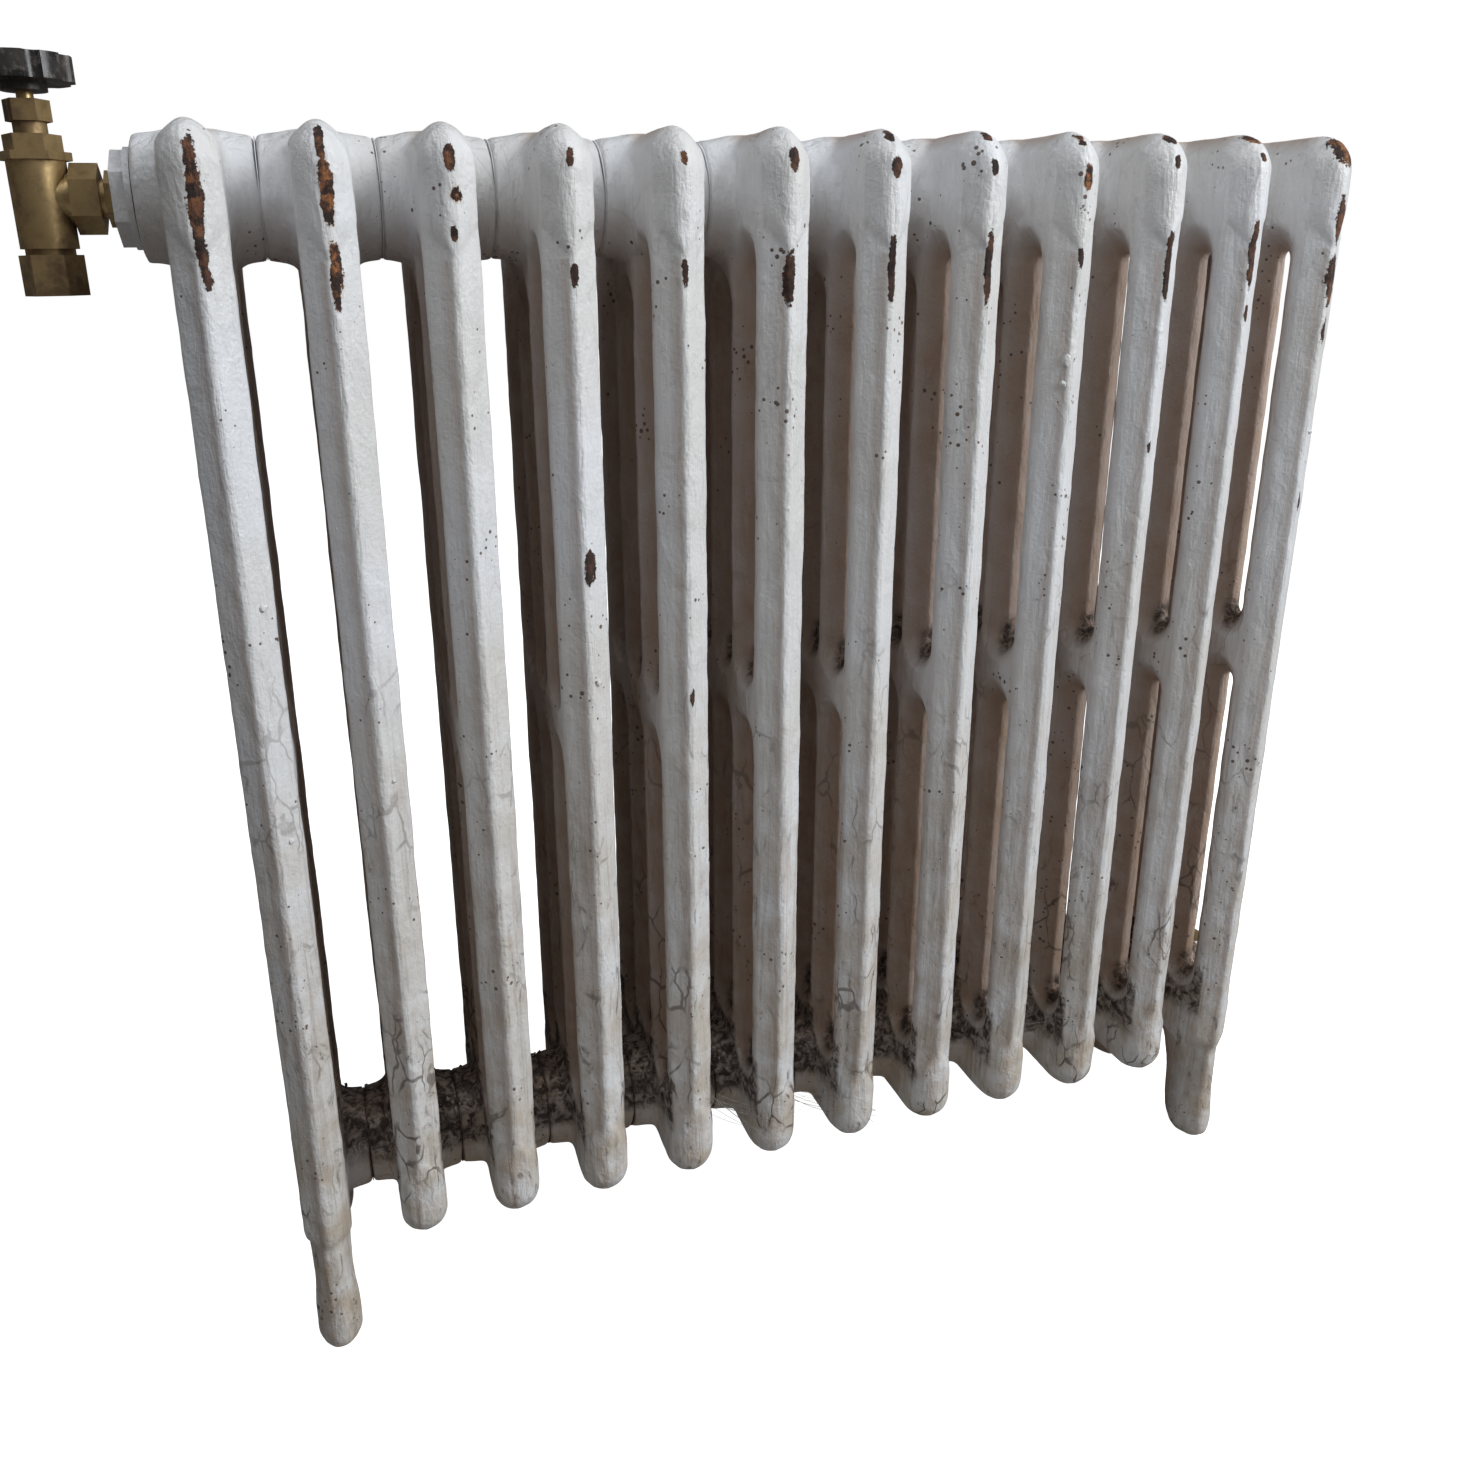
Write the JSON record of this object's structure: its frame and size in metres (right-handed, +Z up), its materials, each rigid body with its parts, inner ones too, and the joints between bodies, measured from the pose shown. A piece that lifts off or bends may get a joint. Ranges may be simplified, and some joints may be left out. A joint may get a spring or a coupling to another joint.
{
  "type": "radiator with valve",
  "caption": "Cast-iron column radiator of equal sections on feet, with an angle valve and handwheel, a return elbow and an air vent.",
  "frame": {"origin": "on the floor, under the middle of the whole unit's width and depth", "axes": "+X along the row from the valve to the return elbow, +Y to the wall, +Z up"},
  "size_m": [0.8385, 0.157, 0.773],
  "materials": {
    "painted_casting": "old white gloss paint, chipped, dusty and rusty",
    "bare_iron": "bare, dark",
    "gasket": "flat fibre",
    "brass": "dull, tarnished",
    "packing": "greased string",
    "washer_rubber": "flat",
    "wheel_plastic": "worn black bakelite",
    "steel": "dull zinc"
  },
  "bodies": {
    "radiator": {"section_01": "painted_casting", "section_02": "painted_casting", "section_03": "painted_casting", "section_04": "painted_casting", "section_05": "painted_casting", "section_06": "painted_casting", "section_07": "painted_casting", "section_08": "painted_casting", "section_09": "painted_casting", "section_10": "painted_casting", "section_11": "painted_casting", "section_12": "painted_casting", "nipples_top": "bare_iron", "nipples_bottom": "bare_iron", "gaskets_top": "gasket", "gaskets_bottom": "gasket", "supply_bush": "painted_casting", "supply_bush_gasket": "gasket", "valve_tail": "brass", "valve_union_nut": "brass", "valve_body": "brass", "valve_seat_ring": "brass", "valve_bonnet": "brass", "gland_packing": "packing", "gland_nut": "brass", "supply_pipe_nut": "brass", "supply_pipe_olive": "brass", "return_bush": "painted_casting", "return_bush_gasket": "gasket", "return_elbow": "brass", "return_pipe_nut": "brass", "return_pipe_olive": "brass", "vent_plug": "painted_casting", "vent_plug_gasket": "gasket", "vent_body": "brass"},
    "wheel_and_spindle": {"handwheel": "wheel_plastic", "handwheel_screw": "steel", "valve_spindle": "brass"},
    "disc": {"valve_disc": "brass", "disc_washer": "washer_rubber"},
    "vent_screw": {"vent_screw": "brass"}
  },
  "joints": [
    {"name": "handwheel_turn", "type": "hinge", "parent": "radiator", "child": "wheel_and_spindle", "pos_m": [-0.39525, 0, 0.756], "axis": [0, 0, 1], "range_deg": [0, 900]},
    {"name": "disc_lift", "type": "slide", "parent": "radiator", "child": "disc", "axis": [0, 0, 1], "range_m": [0, 0.0075]},
    {"name": "vent_screw_turn", "type": "hinge", "parent": "radiator", "child": "vent_screw", "pos_m": [0.39625, 0, 0.706], "axis": [1, 0, 0], "range_deg": [0, 360]}
  ],
  "couplings": [
    {"joint": "disc_lift", "follows": "handwheel_turn", "m_per_rad": 0.00047746}
  ]
}
